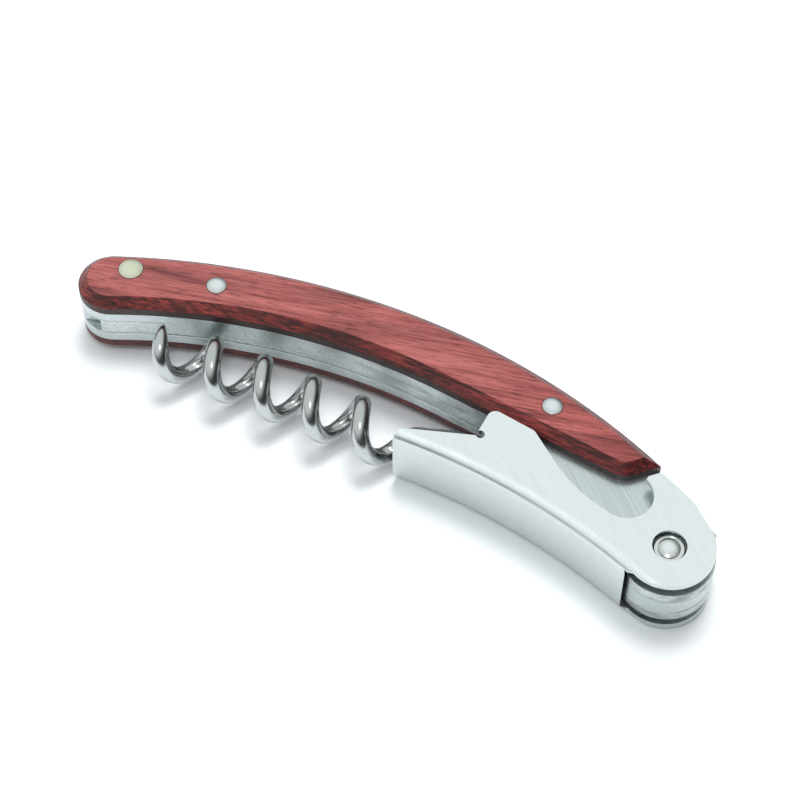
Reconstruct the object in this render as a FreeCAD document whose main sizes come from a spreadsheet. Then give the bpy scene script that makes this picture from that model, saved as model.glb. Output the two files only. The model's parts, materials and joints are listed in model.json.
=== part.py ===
import FreeCAD, Part
import math
import os
from collections import namedtuple

import Sketcher
from FreeCAD import Placement, Rotation, Vector

# Waiter's corkscrew, closed, lying on its side.
# Frame: +Z along the hinge pins (thickness), +X towards the lever's nose, +Y towards the convex back.
# Origin: middle of the closed tool's footprint, on the surface that it lies on. Millimetres, degrees.

SIZES = {
    # overall
    "handle_span": 107.8,       # left end's centre to the lever pivot, along X
    "body_depth": 31.4,         # crown of the back to the lowest point of the nose, along Y
    "end_radius": 5.85,
    "end_drop": 17.55,          # crown down to the left end's centre
    "nose_radius": 7.7,
    # side profile of the handle
    "crown_offset": 53.1,       # left end's centre to the crown
    "valley_offset": 51.7,      # left end's centre to the top of the hollow edge
    "waist": 11.1,              # from the hollow edge up to the crown
    "back_radius": 122.0,       # back of the handle, right of the crown
    "hollow_run": 8.8,          # top of the hollow edge to where it turns straight
    "shoulder_back": 7.7,       # pivot back to where the nose's shoulder starts
    # layers, from the middle outwards
    "middle_thick": 3.4,
    "liner_thick": 2.0,
    "scale_thick": 3.2,
    "scale_chamfer": 1.65,
    "scale_end_back": 7.45,     # pivot back to the scale's end, at the back edge
    "scale_cut_back": 12.1,     # pivot back to the scale's end, at the hollow edge
    "scale_round": 4.0,
    # back spring
    "spring_edge_recess": 0.12,
    "spring_block": 10.9,       # left end's centre to where the recess starts
    "split_back": 22.5,         # pivot back to the joint of spring and nose spacer
    "notch_depth": 1.7,
    # nose of the liners
    "stop_radius": 9.0,
    "stop_angle": 52.0,
    "stop_notch": 7.0,
    "bump_back": 36.0,          # pivot back to the liners' step over the worm's eye
    "bump_round": 2.5,
    # worm
    "worm_back": 31.75,         # lever pivot back to the worm pivot
    "worm_rise": 4.8,           # lever pivot up to the worm pivot
    "wire_radius": 1.5,
    "coil_radius": 3.8,
    "coil_pitch": 9.42,
    "coil_drop": 2.9,           # worm pivot down to the coil's axis
    "coil_top_back": 55.55,     # worm pivot back to where the wire passes the coil's top
    "coil_slow_back": 25.0,     # worm pivot back to where the turns start to lengthen
    "coil_slowing": 0.95,       # loss of turn there, degrees per square millimetre
    "worm_length": 64.3,        # worm pivot back to the tip
    "tip_length": 2.4,
    "tip_radius": 0.25,
    "runout_back": 20.5,        # worm pivot back to where the wire leaves the coil
    "runout": 7.5,
    "shank_bow": 0.00086,       # fall of the shank per cube of the distance from the pivot
    "lean_back": 45.0,          # worm pivot back to where the coil starts to lean outwards
    "lean_run": 11.0,
    "lean": 0.6,
    "last_back": 56.0,          # worm pivot back to where the last turn starts to stretch
    "last_run": 5.0,
    "last_stretch": 0.7,
    "worm_pin_radius": 1.2,
    "worm_head_radius": 1.9,
    "worm_head_thick": 0.5,
    "worm_washer_radius": 3.4,
    # lever
    "lever_width": 13.4,
    "lever_sheet": 1.2,
    "lever_nose_radius": 7.5,
    "lever_length": 49.25,
    "lever_bend": 2.1,
    "web_radius": 118.0,
    "web_top_back": 42.3,       # pivot back to the top of the web's curve
    "web_drop": 0.86,           # pivot down to the top of the web's curve
    "web_end_back": 4.65,
    "relief_radius": 0.75,
    "bush_radius": 2.83,
    "bush_recess": 0.9,
    "bush_chamfer": 0.4,
    "rivet_radius": 1.5,
    "rivet_head_radius": 1.85,
    "rivet_head_thick": 0.2,
    # knife
    "knife_in": 2.22,           # left end's centre in to the knife pin
    "knife_up": 2.99,           # left end's centre up to the knife pin
    "knife_pin_radius": 1.5,
    "knife_head_radius": 2.1,
    "knife_head_rim": 0.1,
    "knife_head_rise": 0.35,
    "tang_radius": 3.3,
    "knife_washer_radius": 2.9,
    "blade_thick": 1.6,
    "blade_proud": 0.9,
    "blade_width": 4.8,
    "blade_reach": 40.0,        # knife pin to the blade's tip, along X
    "blade_bevel": 0.62,
    "tooth_radius": 0.85,
    "tooth_count": 11,
    "tooth_angle": 0.9,
    "nick_length": 7.0,
    "nick_depth": 0.4,
    # scale rivets
    "left_rivet_in": 17.31,     # left end's centre in to the left rivet
    "left_rivet_up": 6.59,
    "right_rivet_back": 28.04,  # lever pivot back to the right rivet
    "right_rivet_up": 16.04,
    "stud_radius": 0.9,
    "socket_radius": 1.5,
    "head_radius": 1.7,
    "head_rise": 0.45,
    # fits
    "running_gap": 0.05,
    "side_gap": 0.05,
    "free_gap": 0.35,
}

# Corners of the lever's side plate: distance back from the pivot and up from it.
TIP_CORNER = (49.0, 0.55)
TIP_SHOULDER = (47.3, 1.3)
NOTCH_ROOT = (36.25, 5.35)
HOOK_FOOT = (36.95, 6.3)
HOOK_TOP = (36.9, 11.25)
HOOK_END = (28.65, 10.3)
SWEEP_START = (23.75, 6.75)
SWEEP_MIDDLE = (17.75, 3.25)
SWEEP_END = (11.75, 1.45)
WINDOW_CENTRE = (10.15, 5.75)
WINDOW_RADIUS = 4.55
WINDOW_MOUTH = (8.35, 9.9)
SHOULDER_FOOT = (8.3, 10.6)
SHOULDER_TOP = (6.65, 12.3)
SHOULDER_TURN = (-0.4, 9.3)
SHOULDER_ANGLE = 50.0
WEB_STEP_ANGLE = 7.0

Sized = namedtuple("Sized", "value formula")

doc = FreeCAD.newDocument("waiters_corkscrew")
sheet = doc.addObject("Spreadsheet::Sheet", "sizes")
for row, (name, value) in enumerate(SIZES.items(), start=1):
    sheet.set(f"A{row}", name)
    sheet.set(f"B{row}", str(value))
    sheet.setAlias(f"B{row}", name)
doc.recompute()


def size(name):
    """Value of one cell of the sheet."""
    return float(sheet.get(name))


def total(**factors):
    """Sum of cells, each times a factor, as a number and as the formula that binds it."""
    value = sum(size(name) * factor for name, factor in factors.items())
    formula = " + ".join(f"sizes.{name} * {factor}" for name, factor in factors.items())
    return Sized(value, formula.replace("+ -", "- ") or "0")


def scaled(sized, factor):
    """A sized value times a number."""
    return Sized(sized.value * factor, f"({sized.formula}) * {factor}")


def plus(first, second):
    """Sum of two sized values."""
    return Sized(first.value + second.value, f"({first.formula}) + ({second.formula})")


# ---------------------------------------------------------------- levels and reference points

STACK_HALF = total(middle_thick=0.5, liner_thick=1)
SCALE_HALF = total(middle_thick=0.5, liner_thick=1, scale_thick=1)
MIDDLE_HALF = total(middle_thick=0.5)
LEVER_HALF = total(lever_width=0.5)
ZERO = Sized(0.0, "0")
MIDDLE_LEVEL = plus(SCALE_HALF, total(head_rise=1))


def from_pivot(back, up):
    """Point at a distance back from the lever pivot and up from it."""
    return Vector(pivot.x - back, pivot.y + up, 0)


def from_end(right, up):
    """Point at a distance from the centre of the round left end."""
    return Vector(end_centre.x + right, end_centre.y + up, 0)


pivot = Vector((size("handle_span") + size("end_radius") - size("nose_radius")) / 2,
               size("nose_radius") - size("body_depth") / 2, 0)
end_centre = Vector(pivot.x - size("handle_span"), size("body_depth") / 2 - size("end_drop"), 0)
crown = Vector(end_centre.x + size("crown_offset"), size("body_depth") / 2, 0)
valley = Vector(end_centre.x + size("valley_offset"), crown.y - size("waist"), 0)
knife_pivot = from_end(size("knife_in"), size("knife_up"))
left_rivet = from_end(size("left_rivet_in"), size("left_rivet_up"))
right_rivet = from_pivot(size("right_rivet_back"), size("right_rivet_up"))
worm_pivot = from_pivot(size("worm_back"), size("worm_rise"))
web_centre = from_pivot(size("web_top_back"), -size("web_drop") - size("web_radius"))


def polar(centre, radius, degrees):
    """Point at a radius and angle about a centre."""
    turn = math.radians(degrees)
    return Vector(centre.x + radius * math.cos(turn), centre.y + radius * math.sin(turn), 0)


def angle_of(centre, point):
    """Direction from a centre to a point, in degrees."""
    return math.degrees(math.atan2(point.y - centre.y, point.x - centre.x))


def meet(centre_a, radius_a, centre_b, radius_b, side):
    """One crossing of two circles; side +1 is left of the line from a to b, -1 is right."""
    line_ab = centre_b - centre_a
    length = line_ab.Length
    along = (length ** 2 + radius_a ** 2 - radius_b ** 2) / (2 * length)
    across = math.sqrt(radius_a ** 2 - along ** 2) * side
    unit = line_ab / length
    return centre_a + unit * along + Vector(-unit.y, unit.x, 0) * across


def on_arc(centre, radius, x):
    """Upper point of a circle at a given X."""
    return Vector(x, centre.y + math.sqrt(radius ** 2 - (x - centre.x) ** 2), 0)


def tangent_radius(offset, rise, side):
    """Radius of an arc, level at its top, that touches the round left end from outside or inside."""
    spare = offset ** 2 + rise ** 2 - size("end_radius") ** 2
    return spare / (2 * (rise + side * size("end_radius")))


back_left_radius = tangent_radius(size("crown_offset"), crown.y - end_centre.y, -1)
back_left_centre = Vector(crown.x, crown.y - back_left_radius, 0)
back_right_centre = Vector(crown.x, crown.y - size("back_radius"), 0)
hollow_radius = tangent_radius(size("valley_offset"), valley.y - end_centre.y, 1)
hollow_centre = Vector(valley.x, valley.y - hollow_radius, 0)
hollow_turn = on_arc(hollow_centre, hollow_radius, valley.x + size("hollow_run"))
hollow_slope = (hollow_turn.x - hollow_centre.x) / (hollow_turn.y - hollow_centre.y)
back_tangent = polar(end_centre, size("end_radius"), angle_of(back_left_centre, end_centre))
hollow_tangent = polar(end_centre, size("end_radius"), angle_of(end_centre, hollow_centre))


def back_at(x):
    """Point on the convex back at a given X."""
    if x < crown.x:
        return on_arc(back_left_centre, back_left_radius, x)
    return on_arc(back_right_centre, size("back_radius"), x)


def hollow_at(x, recess=0.0):
    """Point on the hollow edge at a given X, moved in by a recess."""
    if x < hollow_turn.x:
        return on_arc(hollow_centre, hollow_radius + recess, x)
    return Vector(x, hollow_turn.y + recess - hollow_slope * (x - hollow_turn.x), 0)


# ---------------------------------------------------------------- outlines

def line(start, end):
    """Straight side of an outline."""
    return Part.LineSegment(start, end)


def arc(centre, start, end, ccw=False):
    """Round side of an outline about a centre, clockwise unless told otherwise."""
    radius = (start - centre).Length
    first, last = angle_of(centre, start), angle_of(centre, end)
    if not ccw:
        first, last = last, first
    if last <= first:
        last += 360
    circle = Part.Circle(centre, Vector(0, 0, 1), radius)
    return Part.ArcOfCircle(circle, math.radians(first), math.radians(last))


def through(start, middle, end):
    """Round side of an outline through three points."""
    centre = Part.Arc(start, middle, end).toShape().Curve.Center
    ccw = (middle - start).cross(end - middle).z > 0
    return arc(Vector(centre.x, centre.y, 0), start, end, ccw)


def back_sides(left, right):
    """Sides along the convex back between two of its points, from left to right."""
    if left.x < crown.x < right.x:
        return [arc(back_left_centre, left, crown), arc(back_right_centre, crown, right)]
    centre = back_left_centre if right.x <= crown.x else back_right_centre
    return [arc(centre, left, right)]


def hollow_sides(right, left, recess=0.0):
    """Sides along the hollow edge between two of its points, from right to left."""
    turn = hollow_at(hollow_turn.x - 1e-9, recess)
    return [line(right, turn), arc(hollow_centre, turn, left, ccw=True)]


def nose_sides(shoulder, foot):
    """Sides of the nose: shoulder, stop corner and the round front, down to the foot."""
    corner = polar(pivot, size("stop_radius"), size("stop_angle"))
    step = polar(pivot, size("nose_radius"), size("stop_angle") - size("stop_notch"))
    return [line(shoulder, corner), line(corner, step), arc(pivot, step, foot)]


bump_curve = size("web_radius") + size("lever_sheet") + 2 * size("free_gap")
nose_foot = meet(web_centre, bump_curve, pivot, size("nose_radius"), 1)
shoulder_start = back_at(pivot.x - size("shoulder_back"))
bump_x = pivot.x - size("bump_back")
split_x = pivot.x - size("split_back")


def liner_outline():
    """Liner: handle, nose, and the bump that holds the worm's eye."""
    bump_foot = on_arc(web_centre, bump_curve, bump_x)
    bump_head = hollow_at(bump_x)
    return (back_sides(back_tangent, shoulder_start)
            + nose_sides(shoulder_start, nose_foot)
            + [arc(web_centre, nose_foot, bump_foot, ccw=True), line(bump_foot, bump_head)]
            + hollow_sides(bump_head, hollow_tangent)
            + [arc(end_centre, hollow_tangent, back_tangent)])


def scale_outline():
    """Wooden scale: the handle without its nose, cut off aslant at its right end."""
    end_top = back_at(pivot.x - size("scale_end_back"))
    end_foot = hollow_at(pivot.x - size("scale_cut_back"))
    return (back_sides(back_tangent, end_top) + [line(end_top, end_foot)]
            + hollow_sides(end_foot, hollow_tangent)
            + [arc(end_centre, hollow_tangent, back_tangent)])


slot_floor = back_left_radius - (size("blade_width") - size("blade_proud")) - size("free_gap")
tang_room = size("tang_radius") + size("free_gap")
tip_x = knife_pivot.x + size("blade_reach")


def spring_outline():
    """Back spring: it fills the handle between the blade's slot and the hollow edge."""
    recess = size("spring_edge_recess")
    slot_end = tip_x + 3 * size("free_gap")
    slot_corner = on_arc(back_left_centre, slot_floor, slot_end)
    throat = meet(back_left_centre, slot_floor, knife_pivot, tang_room, -1)
    heel = polar(knife_pivot, tang_room, 235)
    toe = polar(end_centre, size("end_radius"), 222)
    notch_left = polar(end_centre, size("end_radius"), 236)
    notch_root = polar(end_centre, size("end_radius") - size("notch_depth"), 262)
    notch_right = polar(end_centre, size("end_radius"), 277)
    block_end = hollow_at(end_centre.x + size("spring_block"))
    block_step = hollow_at(block_end.x + recess / 2, recess)
    split_foot, split_top = hollow_at(split_x, recess), back_at(split_x)
    return (back_sides(back_at(slot_end), split_top) + [line(split_top, split_foot)]
            + hollow_sides(split_foot, block_step, recess)
            + [line(block_step, block_end), arc(hollow_centre, block_end, hollow_tangent, ccw=True),
               arc(end_centre, hollow_tangent, notch_right),
               line(notch_right, notch_root), line(notch_root, notch_left),
               arc(end_centre, notch_left, toe), line(toe, heel),
               arc(knife_pivot, heel, throat, ccw=True),
               arc(back_left_centre, throat, slot_corner), line(slot_corner, back_at(slot_end))])


def spacer_outline():
    """Nose spacer: the middle layer right of the back spring."""
    left = split_x + 2 * size("side_gap")
    foot = on_arc(web_centre, bump_curve, left)
    return (back_sides(back_at(left), shoulder_start) + nose_sides(shoulder_start, nose_foot)
            + [arc(web_centre, nose_foot, foot, ccw=True), line(foot, back_at(left))])


def lever_outline():
    """Side plate of the lever out to the web's face, with its nose still uncut."""
    tip_foot = on_arc(web_centre, size("web_radius"), pivot.x - size("lever_length"))
    far_foot = on_arc(web_centre, size("web_radius"), pivot.x + 1.2 * size("lever_nose_radius"))
    shoulder_turn = from_pivot(*SHOULDER_TURN)
    window = from_pivot(*WINDOW_CENTRE)
    window_top = polar(window, WINDOW_RADIUS, angle_of(window, from_pivot(*WINDOW_MOUTH)))
    sweep_end = polar(window, WINDOW_RADIUS, angle_of(window, from_pivot(*SWEEP_END)))
    sweep_start = from_pivot(*SWEEP_START)
    corners = [from_pivot(*place) for place in (HOOK_END, HOOK_TOP, HOOK_FOOT, NOTCH_ROOT,
                                                TIP_SHOULDER, TIP_CORNER)]
    rim = [far_foot, Vector(far_foot.x, shoulder_turn.y, 0), shoulder_turn,
           from_pivot(*SHOULDER_TOP), from_pivot(*SHOULDER_FOOT), window_top]
    edge = [sweep_start] + corners + [tip_foot]
    return ([arc(web_centre, tip_foot, far_foot)] + [line(*pair) for pair in zip(rim, rim[1:])]
            + [arc(window, window_top, sweep_end),
               through(sweep_end, from_pivot(*SWEEP_MIDDLE), sweep_start)]
            + [line(*pair) for pair in zip(edge, edge[1:])])


def nose_cut_outline():
    """What is cut away around the lever's round nose, from the web's end to the shoulder."""
    nose = size("lever_nose_radius")
    web_end = on_arc(web_centre, size("web_radius"), pivot.x - size("web_end_back"))
    start = polar(pivot, nose, angle_of(pivot, web_end) + WEB_STEP_ANGLE)
    end = polar(pivot, nose, SHOULDER_ANGLE)
    turn = from_pivot(*SHOULDER_TURN)
    low, far = pivot.y - 2 * nose, pivot.x + 2 * nose
    rim = [start, web_end, Vector(web_end.x, low, 0), Vector(far, low, 0),
           Vector(far, turn.y + nose, 0), Vector(turn.x, turn.y + nose, 0), turn, end]
    return [line(*pair) for pair in zip(rim, rim[1:])] + [arc(pivot, end, start)]


def channel_outline():
    """Room inside the lever's channel: above the web, and all of it beyond the web's end."""
    inner = size("web_radius") + size("lever_sheet")
    margin = 2 * size("lever_nose_radius")
    left = on_arc(web_centre, inner, pivot.x - size("lever_length") - 1)
    right = meet(web_centre, inner, pivot, size("nose_radius") + size("free_gap"), 1)
    web_end = on_arc(web_centre, size("web_radius"), pivot.x - size("web_end_back"))
    top, bottom, far = pivot.y + margin, pivot.y - margin, pivot.x + margin
    rim = [right, web_end, Vector(web_end.x, bottom, 0), Vector(far, bottom, 0),
           Vector(far, top, 0), Vector(left.x, top, 0), left]
    return [arc(web_centre, left, right)] + [line(*pair) for pair in zip(rim, rim[1:])]


def blade_outline():
    """Foil knife: a round tang, and a curved blade along the handle's back."""
    spine = back_left_radius + size("blade_proud")
    edge = spine - size("blade_width")
    tip = on_arc(back_left_centre, edge, tip_x)
    spine_end = on_arc(back_left_centre, spine, tip_x - size("blade_width"))
    spine_start = on_arc(back_left_centre, spine, knife_pivot.x + 3 * size("tang_radius"))
    tang_top = polar(knife_pivot, size("tang_radius"), 80)
    heel = meet(back_left_centre, edge, knife_pivot, size("tang_radius"), -1)
    return [line(tang_top, spine_start), arc(back_left_centre, spine_start, spine_end),
            line(spine_end, tip), arc(back_left_centre, tip, heel, ccw=True),
            arc(knife_pivot, heel, tang_top)]


# ---------------------------------------------------------------- features

def new_body(label):
    """Body of one sub-part, with its middle plane at the middle of the stack."""
    body = doc.addObject("PartDesign::Body", label)
    body.Label = label
    body.Placement = Placement(Vector(0, 0, MIDDLE_LEVEL.value), Rotation())
    body.setExpression("Placement.Base.z", MIDDLE_LEVEL.formula)
    return body


def new_sketch(body, name, role="XY_Plane", level=ZERO):
    """Sketch on one of a body's own origin planes, raised to a level."""
    sketch = body.newObject("Sketcher::SketchObject", name)
    plane = next(item for item in body.Origin.OriginFeatures if item.Role == role)
    sketch.AttachmentSupport = [(plane, "")]
    sketch.MapMode = "FlatFace"
    sketch.AttachmentOffset = Placement(Vector(0, 0, level.value), Rotation())
    if level is not ZERO:
        sketch.setExpression("AttachmentOffset.Base.z", level.formula)
    return sketch


def constrain(sketch, kind, *places, sized=None):
    """Adds a constraint, tied to the sheet when it has a sized value."""
    values = [sized.value] if sized else []
    index = sketch.addConstraint(Sketcher.Constraint(kind, *places, *values))
    if sized and sized is not ZERO:
        sketch.setExpression(f"Constraints[{index}]", sized.formula)


def add_outline(sketch, sides):
    """Adds a closed outline and joins its sides end to end."""
    first = sketch.GeometryCount
    for side in sides:
        sketch.addGeometry(side, False)
    ends = [(first + k, position) for k in range(len(sides)) for position in (1, 2)]
    while ends:
        index, position = ends.pop(0)
        place = sketch.getPoint(index, position)
        other = min(ends, key=lambda end: (sketch.getPoint(*end) - place).Length)
        ends.remove(other)
        constrain(sketch, "Coincident", index, position, *other)


def add_hole(sketch, centre, radius):
    """Adds a round hole at a fixed place, its radius tied to the sheet."""
    circle = Part.Circle(centre, Vector(0, 0, 1), radius.value)
    index = sketch.addGeometry(circle, False)
    sketch.addConstraint(Sketcher.Constraint("DistanceX", index, 3, centre.x))
    sketch.addConstraint(Sketcher.Constraint("DistanceY", index, 3, centre.y))
    constrain(sketch, "Radius", index, sized=radius)


def add_pad(body, sketch, thick, midplane=False):
    """Pads a sketch to a thickness."""
    pad = body.newObject("PartDesign::Pad", body.Name + "_pad")
    pad.Profile = sketch
    pad.Midplane = midplane
    pad.Length = thick.value
    pad.setExpression("Length", thick.formula)
    doc.recompute()
    return pad


def add_pocket(body, sketch, depth, midplane=False, reverse=False):
    """Cuts a sketch out of the body, and checks that it removed something."""
    before = body.Shape.Volume
    pocket = body.newObject("PartDesign::Pocket", body.Name + "_pocket")
    pocket.Profile = sketch
    pocket.Midplane = midplane
    pocket.Reversed = reverse
    pocket.Length = depth.value
    pocket.setExpression("Length", depth.formula)
    doc.recompute()
    if not body.Shape.Volume < before:
        raise RuntimeError(f"{body.Label}: a pocket cuts nothing")
    return pocket


def edge_names(shape, wanted):
    """Names of a shape's edges whose two ends and middle pass a test."""
    names = []
    for k, edge in enumerate(shape.Edges, start=1):
        middle = edge.valueAt((edge.FirstParameter + edge.LastParameter) / 2)
        if wanted([v.Point for v in edge.Vertexes] + [middle]):
            names.append(f"Edge{k}")
    return names


def dress(body, kind, name, radius, wanted):
    """Adds a fillet or chamfer to the edges that pass a test."""
    base = body.Tip
    names = edge_names(base.Shape, wanted)
    if not names:
        raise RuntimeError(f"{body.Label}: {name} finds no edge")
    feature = body.newObject("PartDesign::" + kind, f"{body.Name}_{name}")
    feature.Base = (base, names)
    prop = "Radius" if kind == "Fillet" else "Size"
    setattr(feature, prop, radius.value)
    feature.setExpression(prop, radius.formula)
    doc.recompute()
    if "Invalid" in feature.State or body.Shape.isNull():
        raise RuntimeError(f"{body.Label}: {name} fails")
    return feature


def upright_at(place):
    """Test for upright edges at a place."""
    def wanted(points):
        return all(abs(p.x - place.x) + abs(p.y - place.y) < 1e-3 for p in points)
    return wanted


def number(value):
    """A plain number as a sized value."""
    return Sized(value, str(value))


def plate(label, sides, low, thick, holes):
    """Flat sub-part with an outline, a level, a thickness and round holes."""
    body = new_body(label)
    sketch = new_sketch(body, label + "_outline", level=low)
    add_outline(sketch, sides)
    for centre, radius in holes:
        add_hole(sketch, centre, radius)
    add_pad(body, sketch, thick)
    return body


def turned(label, centre, points, domes=()):
    """Round sub-part about an upright axis; domes are the sides that are crowned."""
    body = new_body(label)
    body.Placement = Placement(Vector(centre.x, centre.y, MIDDLE_LEVEL.value), Rotation())
    sketch = new_sketch(body, label + "_profile", "XZ_Plane")
    places = [Vector(radius.value, level.value, 0) for radius, level in points]
    count = len(points)
    for k in range(count):
        start, end = places[k], places[(k + 1) % count]
        if k in domes:
            rise, reach = end.y - start.y, max(start.x, end.x)
            ball = (reach ** 2 + rise ** 2) / (2 * abs(rise))
            top = max(start.y, end.y, key=abs)
            middle = Vector(0, top - math.copysign(ball, top), 0)
            inwards = start.x > end.x
            sketch.addGeometry(arc(middle, start, end, ccw=inwards == (top > 0)), False)
            constrain(sketch, "PointOnObject", k, 3, -2)
        else:
            sketch.addGeometry(line(start, end), False)
    for k, (radius, level) in enumerate(points):
        position = 1 if (sketch.getPoint(k, 1) - places[k]).Length < 1e-6 else 2
        before = (k - 1) % count
        other = 1 if (sketch.getPoint(before, 1) - places[k]).Length < 1e-6 else 2
        constrain(sketch, "Coincident", k, position, before, other)
        if radius is ZERO:
            constrain(sketch, "PointOnObject", k, position, -2)
        else:
            constrain(sketch, "DistanceX", k, position, sized=radius)
        constrain(sketch, "DistanceY", k, position, sized=level)
    turn = body.newObject("PartDesign::Revolution", label + "_turn")
    turn.Profile = sketch
    turn.ReferenceAxis = (sketch, ["V_Axis"])
    turn.Angle = 360
    doc.recompute()
    return body


def ring(label, centre, bore, rim, low, high, chamfer=None):
    """Round ring; a chamfer, if any, is on its upper outer edge."""
    outer = [(rim, high)]
    if chamfer:
        outer = [(rim, plus(high, scaled(chamfer, -1 if high.value > 0 else 1))),
                 (plus(rim, scaled(chamfer, -1)), high)]
    return turned(label, centre, [(bore, low), (rim, low)] + outer + [(bore, high)])


# ---------------------------------------------------------------- handle: liners, spring, spacer, scales

PIN_HOLE = total(knife_pin_radius=1)
SOCKET_HOLE = total(socket_radius=1)
WORM_HOLE = total(worm_pin_radius=1)
RIVET_HOLE = total(rivet_radius=1)
handle_holes = [(knife_pivot, PIN_HOLE), (left_rivet, SOCKET_HOLE), (right_rivet, SOCKET_HOLE)]
liner_holes = handle_holes + [(worm_pivot, WORM_HOLE), (pivot, RIVET_HOLE)]

for label, low in (("front_liner", MIDDLE_HALF), ("rear_liner", scaled(STACK_HALF, -1))):
    liner = plate(label, liner_outline(), low, total(liner_thick=1), liner_holes)
    dress(liner, "Fillet", "bump", total(bump_round=1),
          upright_at(on_arc(web_centre, bump_curve, bump_x)))

plate("back_spring", spring_outline(), scaled(MIDDLE_HALF, -1), total(middle_thick=1),
      [(left_rivet, SOCKET_HOLE), (right_rivet, SOCKET_HOLE)])
plate("nose_spacer", spacer_outline(), scaled(MIDDLE_HALF, -1), total(middle_thick=1),
      [(pivot, RIVET_HOLE)])

for label, low, side in (("front_scale", STACK_HALF, 1), ("rear_scale", scaled(SCALE_HALF, -1), -1)):
    scale = plate(label, scale_outline(), low, total(scale_thick=1), handle_holes)
    face = side * SCALE_HALF.value
    dress(scale, "Fillet", "end", total(scale_round=1),
          upright_at(hollow_at(pivot.x - size("scale_cut_back"))))
    pins = [centre for centre, _ in handle_holes]
    dress(scale, "Chamfer", "bevel", total(scale_chamfer=1),
          lambda points: all(abs(p.z - face) < 1e-6 for p in points)
          and all((Vector(points[-1].x, points[-1].y, 0) - pin).Length > 2 for pin in pins))

# ---------------------------------------------------------------- lever and its pivot

lever = new_body("lever")
lever_sketch = new_sketch(lever, "lever_outline")
add_outline(lever_sketch, lever_outline())
add_hole(lever_sketch, pivot, total(bush_radius=1))
add_pad(lever, lever_sketch, total(lever_width=1), midplane=True)


def along_web(radius, level):
    """Test for the edges along the web at a radius and a level."""
    def wanted(points):
        return all(abs((Vector(p.x, p.y, 0) - web_centre).Length - radius) < 1e-3
                   and abs(abs(p.z) - level) < 1e-6 for p in points)
    return wanted


for name, place, radius in (("tip", TIP_CORNER, 0.6), ("hook_top", HOOK_TOP, 1.4),
                            ("hook_end", HOOK_END, 1.6), ("shoulder_top", SHOULDER_TOP, 0.8)):
    dress(lever, "Fillet", name, number(radius), upright_at(from_pivot(*place)))
dress(lever, "Fillet", "bend", total(lever_bend=1), along_web(size("web_radius"), LEVER_HALF.value))
nose_cut = new_sketch(lever, "lever_nose_cut")
add_outline(nose_cut, nose_cut_outline())
add_pocket(lever, nose_cut, total(lever_width=2), midplane=True)
channel = new_sketch(lever, "lever_channel")
add_outline(channel, channel_outline())
add_pocket(lever, channel, total(lever_width=1, lever_sheet=-2), midplane=True)
relief = new_sketch(lever, "lever_relief")
add_hole(relief, from_pivot(*NOTCH_ROOT) + Vector(-0.1, 0.25, 0), total(relief_radius=1))
add_pocket(lever, relief, total(lever_width=2), midplane=True)
dress(lever, "Fillet", "inner_bend", total(lever_bend=1, lever_sheet=-1),
      along_web(size("web_radius") + size("lever_sheet"), LEVER_HALF.value - size("lever_sheet")))

BUSH_TOP = total(lever_width=0.5, bush_recess=-1)
BUSH_FOOT = plus(STACK_HALF, total(side_gap=1))
for label, side in (("front_lever_bush", 1), ("rear_lever_bush", -1)):
    ring(label, pivot, total(rivet_radius=1, running_gap=1), total(bush_radius=1),
         scaled(BUSH_FOOT, side), scaled(BUSH_TOP, side), total(bush_chamfer=1))


def headed_pin(label, centre, shaft, head, face, thick, rise):
    """Pin with a crowned head at each end; face is the level that its heads sit on."""
    rim = plus(face, thick)
    top = plus(rim, rise)
    half = [(shaft, face), (head, face), (head, rim), (ZERO, top)]
    other = [(radius, scaled(level, -1)) for radius, level in reversed(half)]
    return turned(label, centre, other + half, domes=(0, 6))


headed_pin("lever_rivet", pivot, total(rivet_radius=1), total(rivet_head_radius=1),
           plus(BUSH_TOP, total(side_gap=1)), total(rivet_head_thick=1), total(head_rise=1))

# ---------------------------------------------------------------- knife

KNIFE_BORE = total(knife_pin_radius=1, running_gap=1)
blade = new_body("knife_blade")
blade_sketch = new_sketch(blade, "blade_outline")
add_outline(blade_sketch, blade_outline())
add_hole(blade_sketch, knife_pivot, KNIFE_BORE)
add_pad(blade, blade_sketch, total(blade_thick=1), midplane=True)
edge_radius = back_left_radius + size("blade_proud") - size("blade_width")
dress(blade, "Chamfer", "bevel", total(blade_bevel=1),
      lambda points: all(abs((Vector(p.x, p.y, 0) - back_left_centre).Length - edge_radius) < 1e-3
                         and abs(abs(p.z) - size("blade_thick") / 2) < 1e-6 for p in points))
teeth = new_sketch(blade, "blade_teeth")
tip_angle = angle_of(back_left_centre, on_arc(back_left_centre, edge_radius, tip_x))
for k in range(int(size("tooth_count"))):
    add_hole(teeth, polar(back_left_centre, edge_radius - size("tooth_radius") / 2,
                          tip_angle + (k + 2) * size("tooth_angle")), total(tooth_radius=1))
add_pocket(blade, teeth, total(blade_thick=2), midplane=True)
nick = new_sketch(blade, "blade_nick", level=total(blade_thick=0.5))
nick_radius = back_left_radius + size("blade_proud") / 4
nick_left = on_arc(back_left_centre, nick_radius, tip_x - 2.2 * size("nick_length"))
nick_right = on_arc(back_left_centre, nick_radius, tip_x - 1.2 * size("nick_length"))
nick_sag = on_arc(back_left_centre, nick_radius - 1, tip_x - 1.7 * size("nick_length"))
add_outline(nick, [line(nick_left, nick_right), through(nick_right, nick_sag, nick_left)])
add_pocket(blade, nick, total(nick_depth=1))

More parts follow.
